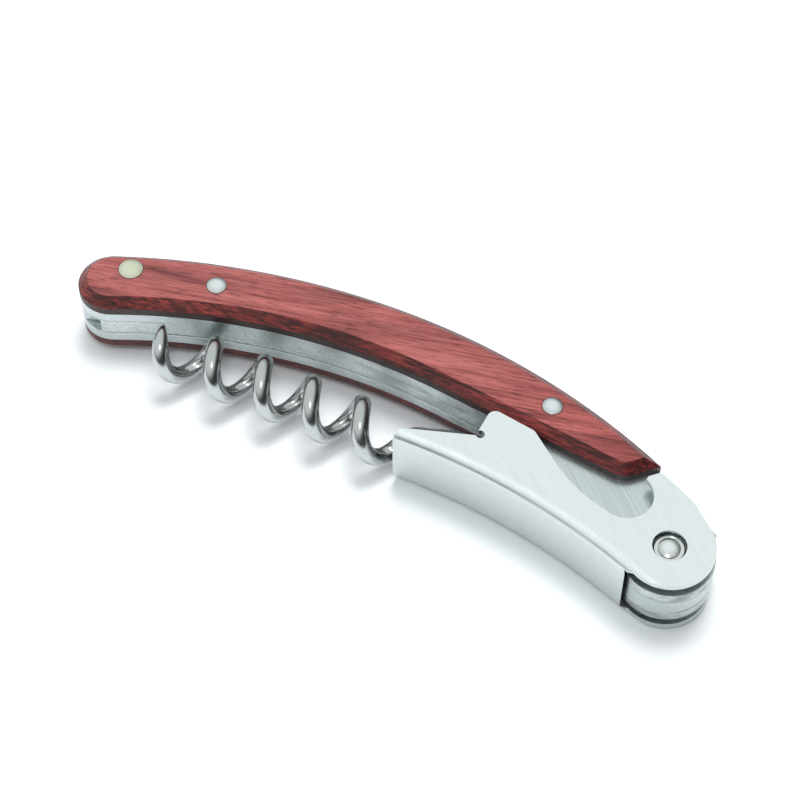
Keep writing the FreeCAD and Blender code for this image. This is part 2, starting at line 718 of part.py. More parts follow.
WASHER_LOW = total(blade_thick=0.5, side_gap=1)
for label, side in (("front_knife_washer", 1), ("rear_knife_washer", -1)):
    ring(label, knife_pivot, KNIFE_BORE, total(knife_washer_radius=1),
         scaled(WASHER_LOW, side), scaled(MIDDLE_HALF, side))
headed_pin("knife_pin", knife_pivot, PIN_HOLE, total(knife_head_radius=1),
           SCALE_HALF, total(knife_head_rim=1), total(knife_head_rise=1))

# ---------------------------------------------------------------- scale rivets: a stud in a socket

STUD_END = scaled(STACK_HALF, -0.9)
for name, centre in (("left", left_rivet), ("right", right_rivet)):
    dome = plus(SCALE_HALF, total(head_rise=1))
    floor = scaled(STACK_HALF, -1)
    turned(name + "_rivet_stud", centre,
           [(ZERO, STUD_END), (total(stud_radius=1), STUD_END), (total(stud_radius=1), SCALE_HALF),
            (total(head_radius=1), SCALE_HALF), (ZERO, dome)], domes=(3,))
    turned(name + "_rivet_socket", centre,
           [(total(head_radius=1), scaled(SCALE_HALF, -1)), (SOCKET_HOLE, scaled(SCALE_HALF, -1)),
            (SOCKET_HOLE, SCALE_HALF), (total(stud_radius=1), SCALE_HALF),
            (total(stud_radius=1), floor), (ZERO, floor), (ZERO, scaled(dome, -1))], domes=(6,))

# ---------------------------------------------------------------- worm and its pivot

worm_bore = size("worm_pin_radius") + size("running_gap")
eye_radius = worm_bore + size("wire_radius")
coil_top = worm_pivot.x - size("coil_top_back")
slow_start = worm_pivot.x - size("coil_slow_back")
runout_start = worm_pivot.x - size("runout_back")
tip_start = worm_pivot.x - size("worm_length")
SECTIONS_PER_TURN = 14
SPANS_PER_LOFT = 8
NECK_SHARE = 0.985  # of the wire's radius, so that the neck ends inside the eye's ring
NECK_RUN = 1.08  # of the eye's radius, from the shank's end to just past the ring's top


def smooth(share):
    """Smooth step from 0 to 1."""
    share = min(max(share, 0.0), 1.0)
    return share * share * (3 - 2 * share)


def part_of(x, name):
    """Share from 0 to 1 of a change along the worm, by its distance back from the pivot and its run."""
    return min(max((worm_pivot.x - size(name + "_back") - x) / size(name + "_run"), 0.0), 1.0)


def coil_axis(x):
    """Height of the coil's axis at X."""
    return worm_pivot.y - size("coil_drop") - size("lean") * part_of(x, "lean")


def wire_centre(x):
    """Centre of the wire at X: a right-handed helix that runs out into a bowed shank."""
    slowed = size("coil_slowing") * max(x - slow_start, 0.0) ** 2
    turned_to = x + size("last_stretch") * part_of(x, "last")
    phase = math.radians(360 * (turned_to - coil_top) / size("coil_pitch") - slowed)
    shank_y = worm_pivot.y + eye_radius - size("shank_bow") * (worm_pivot.x - x) ** 3
    share = smooth((x - runout_start) / size("runout"))
    y = coil_axis(x) + size("coil_radius") * math.cos(phase)
    z = size("coil_radius") * math.sin(phase)
    return Vector(x, y + share * (shank_y - y), z * (1 - share))


def wire_section(x):
    """Round section of the wire at X, square to its run and thinner towards the tip."""
    centre = wire_centre(x)
    run = (wire_centre(x + 0.01) - wire_centre(x - 0.01)).normalize()
    share = min((x - tip_start) / size("tip_length"), 1.0)
    radius = size("tip_radius") + (size("wire_radius") - size("tip_radius")) * math.sin(share * math.pi / 2)
    outward = Vector(0, centre.y - coil_axis(x), centre.z)
    if outward.Length < 1e-6:
        outward = Vector(0, 1, 0)
    across = run.cross(outward)
    turn = Rotation(outward, across, run, "ZXY")
    circle = Part.makeCircle(radius)
    circle.Placement = Placement(centre, turn)
    return Part.Wire([circle])


def worm_shape():
    """Coil and shank as one lofted wire, closed by a round tip and by the eye."""
    step = size("coil_pitch") / SECTIONS_PER_TURN
    shank_end = worm_pivot.x - eye_radius
    lofts = math.ceil((shank_end - tip_start) / step / SPANS_PER_LOFT)
    count = lofts * SPANS_PER_LOFT
    sections = [wire_section(tip_start + (shank_end - tip_start) * k / count) for k in range(count + 1)]
    wire = [Part.makeLoft(sections[k:k + SPANS_PER_LOFT + 1], True, False)
            for k in range(0, count, SPANS_PER_LOFT)]
    point = Part.makeSphere(size("tip_radius"), wire_centre(tip_start))
    neck = Part.makeCylinder(NECK_SHARE * size("wire_radius"), NECK_RUN * eye_radius,
                             wire_centre(shank_end), Vector(1, 0, 0))
    eye = Part.makeTorus(eye_radius, size("wire_radius"), worm_pivot)
    sleeve_half = 0.92 * size("wire_radius")
    sleeve = Part.makeCylinder(eye_radius, 2 * sleeve_half, worm_pivot - Vector(0, 0, sleeve_half))
    bore = Part.makeCylinder(worm_bore, 6 * size("wire_radius"),
                             worm_pivot - Vector(0, 0, 3 * size("wire_radius")))
    return wire[0].fuse(wire[1:] + [point, neck, eye, sleeve]).cut(bore)


worm = doc.addObject("Part::Feature", "worm")
worm.Label = "worm"
worm.Shape = worm_shape()
worm.Placement = Placement(Vector(0, 0, MIDDLE_LEVEL.value), Rotation())

EYE_SIDE = total(wire_radius=1, side_gap=1)
for label, side in (("front_worm_washer", 1), ("rear_worm_washer", -1)):
    ring(label, worm_pivot, total(worm_pin_radius=1, running_gap=1), total(worm_washer_radius=1),
         scaled(EYE_SIDE, side), scaled(MIDDLE_HALF, side))
headed_pin("worm_pin", worm_pivot, WORM_HOLE, total(worm_head_radius=1),
           STACK_HALF, total(worm_head_thick=1), total(side_gap=2))

# ---------------------------------------------------------------- checks and files

doc.recompute()
for thing in doc.Objects:
    if "Invalid" in thing.State or "Error" in thing.State:
        raise RuntimeError(f"{thing.Label} failed: {thing.State}")
subparts = [thing for thing in doc.Objects
            if thing.TypeId == "PartDesign::Body" or thing.TypeId == "Part::Feature"]
for part in subparts:
    if part.Shape.isNull() or not part.Shape.isValid() or len(part.Shape.Solids) != 1:
        raise RuntimeError(f"{part.Label}: {len(part.Shape.Solids)} solids, valid {part.Shape.isValid()}")
os.makedirs("parts", exist_ok=True)
for part in subparts:
    part.Shape.exportStep(f"parts/{part.Label}.step")
    box = part.Shape.BoundBox
    print(f"{part.Label:20s} {part.Shape.Volume:9.1f}  x {box.XMin:7.2f} {box.XMax:7.2f}"
          f"  y {box.YMin:7.2f} {box.YMax:7.2f}  z {box.ZMin:6.2f} {box.ZMax:6.2f}")
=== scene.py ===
"""Looks of a waiter's corkscrew: wood scales, folded lever, wire worm and foil knife."""

import json
import logging
import math
from collections.abc import Callable, Sequence
from dataclasses import dataclass, field
from enum import Enum

import bmesh
import bpy
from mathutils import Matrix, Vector, geometry

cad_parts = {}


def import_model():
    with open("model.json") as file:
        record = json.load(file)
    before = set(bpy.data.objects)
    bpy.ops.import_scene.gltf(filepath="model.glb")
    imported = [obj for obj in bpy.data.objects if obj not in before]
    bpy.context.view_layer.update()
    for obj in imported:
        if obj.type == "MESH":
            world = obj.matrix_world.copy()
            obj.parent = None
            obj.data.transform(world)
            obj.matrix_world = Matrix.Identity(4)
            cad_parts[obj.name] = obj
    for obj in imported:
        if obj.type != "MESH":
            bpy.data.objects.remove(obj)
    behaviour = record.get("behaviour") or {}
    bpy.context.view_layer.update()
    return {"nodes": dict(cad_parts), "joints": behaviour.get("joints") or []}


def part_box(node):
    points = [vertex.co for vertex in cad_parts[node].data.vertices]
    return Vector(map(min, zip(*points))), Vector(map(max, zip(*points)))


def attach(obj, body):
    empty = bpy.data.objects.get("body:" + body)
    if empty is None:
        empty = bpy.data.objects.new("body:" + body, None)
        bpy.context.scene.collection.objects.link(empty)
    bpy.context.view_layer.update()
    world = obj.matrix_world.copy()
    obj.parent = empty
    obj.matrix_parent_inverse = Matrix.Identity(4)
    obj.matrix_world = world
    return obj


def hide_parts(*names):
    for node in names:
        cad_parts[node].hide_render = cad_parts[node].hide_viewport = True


LOG = logging.getLogger("corkscrew")
MM = 0.001
MIDDLE = 7.35 * MM          # level of the stack's middle plane
WELD = 2e-6                 # points closer than this are one
LEVEL_SLACK = 2e-5          # a face this close to a level lies on it
UPRIGHT = 0.999             # a flat face's normal has more than this along Z
CAP_STEPS = 10              # steps from a dome's rim to its crown

Loop = list[Vector]
Level = tuple[float, float]


class Side(Enum):
    """Side of the stack that a part is on."""

    FRONT = 1
    REAR = -1


# ---------------------------------------------------------------- node books

class NodeBook:
    """Short hand for wiring one material's nodes."""

    def __init__(self, name: str) -> None:
        """Start an empty material.

        Args:
            name: Name of the material.
        """
        self.material = bpy.data.materials.new(name)
        self.material.use_nodes = True
        self.tree = self.material.node_tree
        self.tree.nodes.clear()
        self.output = self.tree.nodes.new("ShaderNodeOutputMaterial")
        self.shader = self.tree.nodes.new("ShaderNodeBsdfPrincipled")
        self.link(self.shader.outputs["BSDF"], self.output.inputs["Surface"])
        self.place = self.tree.nodes.new("ShaderNodeTexCoord").outputs["Object"]

    def link(self, source: bpy.types.NodeSocket, target: bpy.types.NodeSocket) -> None:
        """Wire one socket to another."""
        self.tree.links.new(source, target)

    def feed(self, target: bpy.types.NodeSocket, value: object) -> None:
        """Wire a socket or set a plain value on a target socket."""
        if isinstance(value, bpy.types.NodeSocket):
            self.link(value, target)
        else:
            target.default_value = value

    def mapped(self, scale: Sequence[float], turn: float = 0.0,
               shift: Sequence[float] = (0, 0, 0)) -> bpy.types.NodeSocket:
        """Object coordinates turned about Z and stretched.

        Args:
            scale: Repeats per metre along each axis, after the turn.
            turn: Turn about Z in degrees.
            shift: Offset added at the end.

        Returns:
            Vector socket.
        """
        spin = self.tree.nodes.new("ShaderNodeMapping")
        spin.inputs["Rotation"].default_value = (0, 0, math.radians(turn))
        self.link(self.place, spin.inputs["Vector"])
        stretch = self.tree.nodes.new("ShaderNodeMapping")
        stretch.inputs["Scale"].default_value = tuple(scale)
        stretch.inputs["Location"].default_value = tuple(shift)
        self.link(spin.outputs["Vector"], stretch.inputs["Vector"])
        return stretch.outputs["Vector"]

    def noise(self, vector: bpy.types.NodeSocket, detail: float = 3.0, rough: float = 0.55,
              warp: float = 0.0) -> bpy.types.NodeSocket:
        """Noise of one repeat per unit of its vector.

        Args:
            vector: Coordinates that it is read at.
            detail: Octaves of finer noise.
            rough: Strength of the finer octaves.
            warp: Distortion.

        Returns:
            Value socket, about 0.3 to 0.7.
        """
        node = self.tree.nodes.new("ShaderNodeTexNoise")
        node.inputs["Scale"].default_value = 1.0
        node.inputs["Detail"].default_value = detail
        node.inputs["Roughness"].default_value = rough
        node.inputs["Distortion"].default_value = warp
        self.link(vector, node.inputs["Vector"])
        return node.outputs["Fac"]

    def ramp(self, value: bpy.types.NodeSocket, stops: Sequence[tuple[float, object]]
             ) -> bpy.types.NodeSocket:
        """Colours or greys spread over a value.

        Args:
            value: Socket to read.
            stops: Pairs of a position and a grey or a colour of three parts.

        Returns:
            Colour socket.
        """
        node = self.tree.nodes.new("ShaderNodeValToRGB")
        bar = node.color_ramp
        while len(bar.elements) < len(stops):
            bar.elements.new(1.0)
        for element, (position, shade) in zip(bar.elements, stops):
            rgb = (shade, shade, shade) if isinstance(shade, (int, float)) else shade
            element.position = position
            element.color = (*rgb, 1.0)
        self.link(value, node.inputs["Fac"])
        return node.outputs["Color"]

    def spread(self, value: bpy.types.NodeSocket, low: float, high: float,
               start: float = 0.0, end: float = 1.0) -> bpy.types.NodeSocket:
        """Value carried from one range to another and held there.

        Args:
            value: Socket to read.
            low: Value that gives the start.
            high: Value that gives the end.
            start: Result at the low value.
            end: Result at the high value.

        Returns:
            Value socket.
        """
        node = self.tree.nodes.new("ShaderNodeMapRange")
        for name, number in (("From Min", low), ("From Max", high), ("To Min", start), ("To Max", end)):
            node.inputs[name].default_value = number
        self.link(value, node.inputs["Value"])
        return node.outputs["Result"]

    def mix(self, share: object, first: object, second: object, mode: str = "MIX"
            ) -> bpy.types.NodeSocket:
        """Blend of two colours.

        Args:
            share: Share of the second colour.
            first: First colour or socket.
            second: Second colour or socket.
            mode: Blend mode.

        Returns:
            Colour socket.
        """
        node = self.tree.nodes.new("ShaderNodeMix")
        node.data_type = "RGBA"
        node.blend_type = mode
        for index, value in ((0, share), (6, first), (7, second)):
            if isinstance(value, tuple):
                value = (*value, 1.0)
            self.feed(node.inputs[index], value)
        return node.outputs[2]

    def math(self, kind: str, first: object, second: object = 0.0) -> bpy.types.NodeSocket:
        """One sum on values or sockets.

        Args:
            kind: Name of the sum.
            first: First value or socket.
            second: Second value or socket.

        Returns:
            Value socket.
        """
        node = self.tree.nodes.new("ShaderNodeMath")
        node.operation = kind
        self.feed(node.inputs[0], first)
        self.feed(node.inputs[1], second)
        return node.outputs[0]

    def along(self, axis: str) -> bpy.types.NodeSocket:
        """Place along one axis of the object's frame.

        Args:
            axis: Name of the axis.

        Returns:
            Value socket, in metres.
        """
        split = self.tree.nodes.new("ShaderNodeSeparateXYZ")
        self.link(self.place, split.inputs[0])
        return split.outputs[axis]

    def facing_up(self) -> bpy.types.NodeSocket:
        """Share of the surface's normal that lies along Z.

        Returns:
            Value socket, 0 on a wall and 1 on a flat.
        """
        source = self.tree.nodes.new("ShaderNodeTexCoord").outputs["Normal"]
        split = self.tree.nodes.new("ShaderNodeSeparateXYZ")
        self.link(source, split.inputs[0])
        return self.math("ABSOLUTE", split.outputs["Z"])

    def bump(self, height: bpy.types.NodeSocket, depth: float, strength: float = 1.0,
             under: bpy.types.NodeSocket | None = None) -> bpy.types.NodeSocket:
        """Relief on the surface.

        Args:
            height: Height from 0 to 1.
            depth: Depth in metres of a height of 1.
            strength: Share of the effect.
            under: Normal that it lies on.

        Returns:
            Normal socket.
        """
        node = self.tree.nodes.new("ShaderNodeBump")
        node.inputs["Distance"].default_value = depth
        node.inputs["Strength"].default_value = strength
        self.link(height, node.inputs["Height"])
        if under is not None:
            self.link(under, node.inputs["Normal"])
        return node.outputs["Normal"]

    def finish(self, colour: object, rough: object, normal: bpy.types.NodeSocket | None = None,
               metal: float = 0.0) -> bpy.types.Material:
        """Wire the shader's main sockets.

        Args:
            colour: Base colour or socket.
            rough: Roughness or socket.
            normal: Socket of the relief.
            metal: 1 for a metal and 0 for anything else.

        Returns:
            The finished material.
        """
        self.feed(self.shader.inputs["Base Color"], (*colour, 1.0) if isinstance(colour, tuple) else colour)
        self.feed(self.shader.inputs["Roughness"], rough)
        self.shader.inputs["Metallic"].default_value = metal
        if normal is not None:
            self.link(normal, self.shader.inputs["Normal"])
        return self.material


# ---------------------------------------------------------------- finishes

@dataclass(frozen=True)
class OiledHardwood:
    """Red hardwood with dark pores along the grain and a satin oil finish."""

    name: str
    shift: float = 0.0
    grain_turn: float = -14.0
    painted_wall_shade: float = 0.85              # painted shade on the upright wall: share of near-black mixed in
    pins: tuple[tuple[float, float, float], ...] = ()    # place and radius of each head on it
    ring_shadow_width: float = 0.30 * MM  # painted contact shadow: dark ring on the wood around a head

    def make(self) -> bpy.types.Material:
        """Build the wood.

        Returns:
            Material.
        """
        book = NodeBook(self.name)
        turn, shift = self.grain_turn, self.shift
        wander = book.noise(book.mapped((26, 90, 90), turn, (shift, 0, 0)), 3.0, 0.6, 0.8)
        bands = book.noise(book.mapped((26, 420, 420), turn, (0, shift, 2)), 4.0, 0.6, 0.9)
        grain = book.noise(book.mapped((110, 2300, 2300), turn, (shift, 5, 0)), 4.0, 0.7, 0.4)
        pores = book.noise(book.mapped((330, 3300, 3300), turn, (3, shift, 0)), 2.0, 0.5, 0.2)
        body = book.ramp(bands, [(0.34, (0.200, 0.045, 0.042)), (0.48, (0.335, 0.085, 0.078)),
                                 (0.66, (0.420, 0.125, 0.115))])
        lines = book.ramp(grain, [(0.36, (0.40, 0.28, 0.28)), (0.48, (0.82, 0.76, 0.76)),
                                  (0.60, (1.0, 1.0, 1.0))])
        colour = book.mix(0.9, body, lines, "MULTIPLY")
        dashes = book.spread(pores, 0.42, 0.32)
        colour = book.mix(book.math("MULTIPLY", dashes, 0.72), colour, (0.045, 0.008, 0.009))
        colour = book.mix(book.spread(wander, 0.50, 0.66, 0.0, 0.42), colour, (0.085, 0.022, 0.024))
        colour = book.mix(book.spread(wander, 0.50, 0.32, 0.0, 0.35), colour, (0.52, 0.160, 0.145))
        # painted sheen: the wood turns darker and redder towards +X, so the left end reads as lit
        colour = book.mix(book.spread(book.along("X"), 0.010, 0.045, 0.0, 0.55), colour,
                          book.mix(1.0, colour, (1.0, 0.64, 0.62), "MULTIPLY"))
        flat = book.facing_up()
        # painted shade on the chamfer: a streaky darkening where the surface tilts from flat
        streaks = book.noise(book.mapped((110, 1800, 2600), 0.0, (1, shift, 4)), 4.0, 0.7, 0.4)
        painted_chamfer_shade = book.ramp(streaks, [(0.40, (0.06, 0.02, 0.016)), (0.50, (0.34, 0.13, 0.11)),
                                   (0.60, (0.74, 0.33, 0.28))])
        colour = book.mix(book.spread(flat, 0.985, 0.90, 0.0, 0.95), colour,
                          book.mix(1.0, colour, painted_chamfer_shade, "MULTIPLY"))
        # painted shade: upright walls darkened towards near-black, by the share above
        colour = book.mix(book.spread(flat, 0.50, 0.10, 0.0, self.painted_wall_shade), colour, (0.016, 0.005, 0.007))
        rough = book.spread(grain, 0.3, 0.7, 0.52, 0.38)
        height = book.math("SUBTRACT", book.math("MULTIPLY", grain, 0.6), dashes)
        normal = book.bump(height, 0.00003, 0.5)
        # painted contact shadow: a dark ring on the wood around each pin and rivet head
        for x, y, radius in self.pins:
            away = self.distance(book, x, y)
            ring_shadow = book.spread(away, radius + self.ring_shadow_width, radius, 0.0, 0.75)
            colour = book.mix(ring_shadow, colour, (0.04, 0.009, 0.009))
        return book.finish(colour, rough, normal)

    def distance(self, book: NodeBook, x: float, y: float) -> bpy.types.NodeSocket:
        """Distance of the surface from an upright axis.

        Args:
            book: Node book of the material.
            x: Place of the axis along X.
            y: Place of the axis along Y.

        Returns:
            Value socket, in metres.
        """
        across = book.math("SUBTRACT", book.along("X"), x)
        up = book.math("SUBTRACT", book.along("Y"), y)
        squares = book.math("ADD", book.math("MULTIPLY", across, across), book.math("MULTIPLY", up, up))
        return book.math("SQRT", squares)


@dataclass(frozen=True)
class BrushedSteel:
    """Stainless steel with fine brush lines in one direction."""

    name: str
    colour: tuple[float, float, float] = (0.78, 0.80, 0.80)
    roughness: float = 0.34
    line_turn: float = 0.0
    line_depth: float = 0.000004
    mottle: float = 0.05
    speckle: float = 0.0
    coil_shade_span: tuple[float, float] | None = None    # places along X where the painted shadow of the coils starts and is full
    wall: float = 1.0                          # share of the colour left on upright walls: painted shade

    def make(self) -> bpy.types.Material:
        """Build the steel.

        Returns:
            Material.
        """
        book = NodeBook(self.name)
        lines = book.noise(book.mapped((90, 4200, 1500), turn=self.line_turn), 3.0, 0.6)
        broad = book.noise(book.mapped((25, 700, 300), turn=self.line_turn, shift=(4, 1, 2)), 2.0)
        cloud = book.noise(book.mapped((120, 120, 120)), 3.0)
        shade = book.math("ADD", book.math("MULTIPLY", lines, 0.75), book.math("MULTIPLY", broad, 0.25))
        dark = tuple(c * (1 - 2.4 * self.mottle) for c in self.colour)
        light = tuple(min(c * (1 + self.mottle), 1.0) for c in self.colour)
        colour = book.ramp(shade, [(0.35, dark), (0.65, light)])
        rough = book.spread(cloud, 0.3, 0.7, self.roughness * 0.85, self.roughness * 1.2)
        normal = book.bump(lines, self.line_depth, 0.6)
        if self.speckle:
            grit = book.noise(book.mapped((2600, 2600, 2600)), 2.0, 0.7)
            spots = book.spread(grit, 0.56, 0.66)
            colour = book.mix(book.math("MULTIPLY", spots, self.speckle), colour, (0.10, 0.105, 0.11))
            normal = book.bump(grit, 0.00002, 0.5, normal)
        # painted shade: upright walls darker than the flats, and a dark line along a fold
        if self.wall < 1.0:
            dim = book.mix(1.0, colour, (self.wall,) * 3, "MULTIPLY")
            colour = book.mix(book.spread(book.facing_up(), 0.80, 0.25), colour, dim)
        # painted shadow and reflection of the worm's coils: mottled dark patches on the upright edges
        # behind the worm
        if self.coil_shade_span:
            coil_shade_blotch = book.noise(book.mapped((130, 420, 420), shift=(7, 3, 1)), 4.0, 0.6)
            reach = book.spread(book.along("X"), *self.coil_shade_span)
            share = book.math("MULTIPLY", book.spread(coil_shade_blotch, 0.40, 0.66), reach)
            share = book.math("MULTIPLY", share, book.spread(book.facing_up(), 0.6, 0.2))
            colour = book.mix(book.math("MULTIPLY", share, 0.75), colour, (0.16, 0.165, 0.165))
        return book.finish(colour, rough, normal, metal=1.0)


@dataclass(frozen=True)
class PolishedMetal:
    """Polished metal with faint drawing marks and small dull patches."""

    name: str
    colour: tuple[float, float, float] = (0.80, 0.81, 0.80)
    roughness: float = 0.12
    patch: float = 0.25
    patch_size: float = 900.0
    patch_from: tuple[float, float] | None = None    # places along X where patches start and are full
    rim: float = 1.0                                 # share of the colour left where a dome slopes: painted shade

    def make(self) -> bpy.types.Material:
        """Build the metal.

        Returns:
            Material.
        """
        book = NodeBook(self.name)
        cloud = book.noise(book.mapped((180, 180, 180)), 3.0)
        grit = book.noise(book.mapped((self.patch_size,) * 3, shift=(2, 0, 1)), 4.0, 0.7)
        spots = book.math("MULTIPLY", book.spread(grit, 0.52, 0.70), book.spread(cloud, 0.45, 0.6))
        if self.patch_from:
            spots = book.math("MULTIPLY", spots, book.spread(book.along("X"), *self.patch_from))
        rough = book.math("ADD", book.math("MULTIPLY", spots, self.patch), self.roughness)
        dark = tuple(c * 0.72 for c in self.colour)
        colour = book.mix(book.math("MULTIPLY", spots, 0.6), self.colour, dark)
        # painted shade: sloping rims and chamfers darker than the flat crown
        if self.rim < 1.0:
            dim = book.mix(1.0, colour, (self.rim,) * 3, "MULTIPLY")
            colour = book.mix(book.spread(book.facing_up(), 0.985, 0.90), colour, dim)
        normal = book.bump(grit, 0.000012, 0.25)
        return book.finish(colour, rough, normal, metal=1.0)


@dataclass(frozen=True)
class PaleFloor:
    """Plain pale table top."""

    name: str = "pale_floor"
    colour: tuple[float, float, float] = (0.895, 0.922, 0.945)

    def make(self) -> bpy.types.Material:
        """Build the floor's material.

        Returns:
            Material.
        """
        book = NodeBook(self.name)
        grain = book.noise(book.mapped((40, 40, 40)), 2.0)
        dark = tuple(c * 0.985 for c in self.colour)
        book.shader.inputs["Specular IOR Level"].default_value = 0.2
        return book.finish(book.ramp(grain, [(0.35, dark), (0.65, self.colour)]), 0.85)


# ---------------------------------------------------------------- mesh work

def softened(corners: Sequence[Level], radius: float, steps: int = 3) -> list[Level]:
    """Round the inner corners of a profile.

    Args:
        corners: Points of the profile, each an inset and a height.
        radius: Radius of the rounding.
        steps: Segments in each rounding.

    Returns:
        Points of the rounded profile.
    """
    points = [Vector(corner) for corner in corners]
    out = [tuple(points[0])]
    for before, here, after in zip(points, points[1:], points[2:]):
        back, ahead = (before - here), (after - here)
        half = back.angle(ahead) / 2
        reach = min(radius / math.tan(half), back.length * 0.45, ahead.length * 0.45)
        start, end = here + back.normalized() * reach, here + ahead.normalized() * reach
        for k in range(steps + 1):
            t = k / steps
            out.append(tuple(start * (1 - t) ** 2 + here * 2 * t * (1 - t) + end * t * t))
    out.append(tuple(points[-1]))
    return out


def face_loops(node: bpy.types.Object, level: float) -> list[Loop]:
    """Border loops of a node's flat face at a height.

    Args:
        node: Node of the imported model.
        level: Height of the face.

    Returns:
        Loops of flat points, the longest first, with the solid on the left of each.
    """
    shape = bmesh.new()
    shape.from_mesh(node.data)
    bmesh.ops.remove_doubles(shape, verts=shape.verts, dist=WELD)
    flat = dict.fromkeys(face for face in shape.faces    # keys keep the mesh's order, which a set doesn't
                         if abs(face.normal.z) > UPRIGHT
                         and abs(face.calc_center_median().z - level) < LEVEL_SLACK)
    follow = {}
    for face in flat:
        for corner in face.loops:
            if not any(other in flat for other in corner.edge.link_faces if other is not face):
                ends = (corner.vert, corner.link_loop_next.vert)
                start, end = ends if face.normal.z > 0 else ends[::-1]
                follow[start] = end
    loops = []
    while follow:
        start = next(iter(follow))
        points, here = [], start
        while here in follow:
            points.append(Vector((here.co.x, here.co.y)))
            here = follow.pop(here)
        loops.append(points)
    shape.free()
    return sorted(loops, key=lambda loop: -sum((a - b).length for a, b in zip(loop, loop[1:])))


def inset_loop(loop: Loop, inset: float) -> Loop:
    """Move each side of a loop into the solid on its left.

    Args:
        loop: Points of the loop.
        inset: Distance that each side moves.

    Returns:
        Points of the moved loop.
    """
    moved = []
    for before, here, after in zip(loop[-1:] + loop[:-1], loop, loop[1:] + loop[:1]):
        first, second = (here - before).normalized(), (after - here).normalized()
        left = Vector((-first.y, first.x))
        lean = left + Vector((-second.y, second.x))
        lean.normalize()
        moved.append(here + lean * inset / max(lean.dot(left), 0.5))
    return moved


def softened_copy(node: bpy.types.Object, width: float, angle: float,
                  wanted: Callable[[Vector], bool] = lambda point: True) -> bpy.types.Mesh:
    """Copy of a node with its sharp edges rounded.

    Args:
        node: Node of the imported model.
        width: Width of the rounding.
        angle: Angle in degrees above which an edge is rounded.
        wanted: Test for the points of the edges that may be rounded.

    Returns:
        New mesh.
    """
    shape = bmesh.new()
    shape.from_mesh(node.data)
    bmesh.ops.remove_doubles(shape, verts=shape.verts, dist=WELD)
    bmesh.ops.dissolve_limit(shape, angle_limit=math.radians(0.3), verts=shape.verts, edges=shape.edges)
    sharp = [edge for edge in shape.edges
             if len(edge.link_faces) == 2 and edge.calc_face_angle(0.0) > math.radians(angle)
             and all(wanted(vert.co) for vert in edge.verts)]
    bmesh.ops.bevel(shape, geom=sharp, offset=width, offset_type="OFFSET", segments=3, profile=0.5,
                    affect="EDGES", clamp_overlap=True)
    mesh = bpy.data.meshes.new("softened")
    shape.to_mesh(mesh)
    shape.free()
    return mesh


def piece(name: str, mesh: bpy.types.Mesh, finish: bpy.types.Material, body: str,
          replaced: Sequence[str] = (), crease: float = 38.0) -> bpy.types.Object:
    """Put a mesh in the scene as a piece of the object.

    Args:
        name: Name of the piece.
        mesh: Its mesh, in the object's frame.
        finish: Its material.
        body: Body that it moves with.
        replaced: Nodes that it stands for.
        crease: Angle in degrees above which an edge stays sharp.

    Returns:
        The piece.
    """
    mesh.name = name
    mesh.materials.append(finish)
    mesh.shade_smooth()
    mesh.set_sharp_from_angle(angle=math.radians(crease))
    made = bpy.data.objects.new(name, mesh)
    bpy.context.scene.collection.objects.link(made)
    even = made.modifiers.new("even_normals", "WEIGHTED_NORMAL")
    even.keep_sharp = True
    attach(made, body)
    if replaced:
        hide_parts(*replaced)
    LOG.info("%s: %d faces", name, len(mesh.polygons))
    return made


def slab(loops: Sequence[Loop], profile: Sequence[Level]) -> bpy.types.Mesh:
    """Plate with a shaped rim: its outer edge follows a profile and its holes are straight.

    Args:
        loops: Outer loop first, then the holes.
        profile: Inset and height of each ring, from the bottom to the top.

    Returns:
        Closed mesh.
    """
    mesh = bpy.data.meshes.new("slab")
    points, faces = [], []
    caps: tuple[list[Loop], list[Loop]] = ([], [])
    starts: tuple[list[int], list[int]] = ([], [])
    for number, loop in enumerate(loops):
        count, first = len(loop), len(points)
        for row, (inset, height) in enumerate(profile):
            ring = inset_loop(loop, inset) if number == 0 and inset else loop
            points += [(p.x, p.y, height) for p in ring]
            for end, wanted in enumerate((0, len(profile) - 1)):
                if row == wanted:
                    caps[end].append([Vector((p.x, p.y, 0)) for p in ring])
                    starts[end].append(first + row * count)
        for row in range(len(profile) - 1):
            low = first + row * count
            faces += [(low + k, low + (k + 1) % count, low + count + (k + 1) % count, low + count + k)
                      for k in range(count)]
    for end, rings in enumerate(caps):
        flat = [point for ring in rings for point in ring]
        index = [starts[end][r] + k for r, ring in enumerate(rings) for k in range(len(ring))]
        for a, b, c in geometry.tessellate_polygon(rings):
            turn = (flat[b] - flat[a]).cross(flat[c] - flat[a]).z
            if abs(turn) < 1e-14:
                continue
            corner = (a, b, c) if (turn > 0) == (end == 1) else (a, c, b)
            faces.append(tuple(index[i] for i in corner))
    mesh.from_pydata(points, [], faces)
    mesh.validate()
    return mesh


def lathe(profile: Sequence[Level], centre: Sequence[float], around: int = 72) -> bpy.types.Mesh:
    """Turned shape about an upright axis.

    Args:
        profile: Closed outline of radius and height, anticlockwise with the radius to the right.
        centre: Place of the axis.
        around: Segments around the axis.

    Returns:
        Closed mesh.
    """
    shape = bmesh.new()
    rows = []
    for radius, height in profile:
        if radius < 1e-9:
            rows.append([shape.verts.new((centre[0], centre[1], height))])
        else:
            rows.append([shape.verts.new((centre[0] + radius * math.cos(math.tau * k / around),
                                          centre[1] + radius * math.sin(math.tau * k / around), height))
                         for k in range(around)])
    for low, high in zip(rows, rows[1:] + rows[:1]):
        if len(low) == 1 and len(high) == 1:
            continue
        for k in range(around):
            n = (k + 1) % around
            if len(low) == 1:
                shape.faces.new((low[0], high[n], high[k]))
            elif len(high) == 1:
                shape.faces.new((low[k], low[n], high[0]))
            else:
                shape.faces.new((low[k], low[n], high[n], high[k]))
    mesh = bpy.data.meshes.new("lathe")
    shape.to_mesh(mesh)
    shape.free()
    return mesh


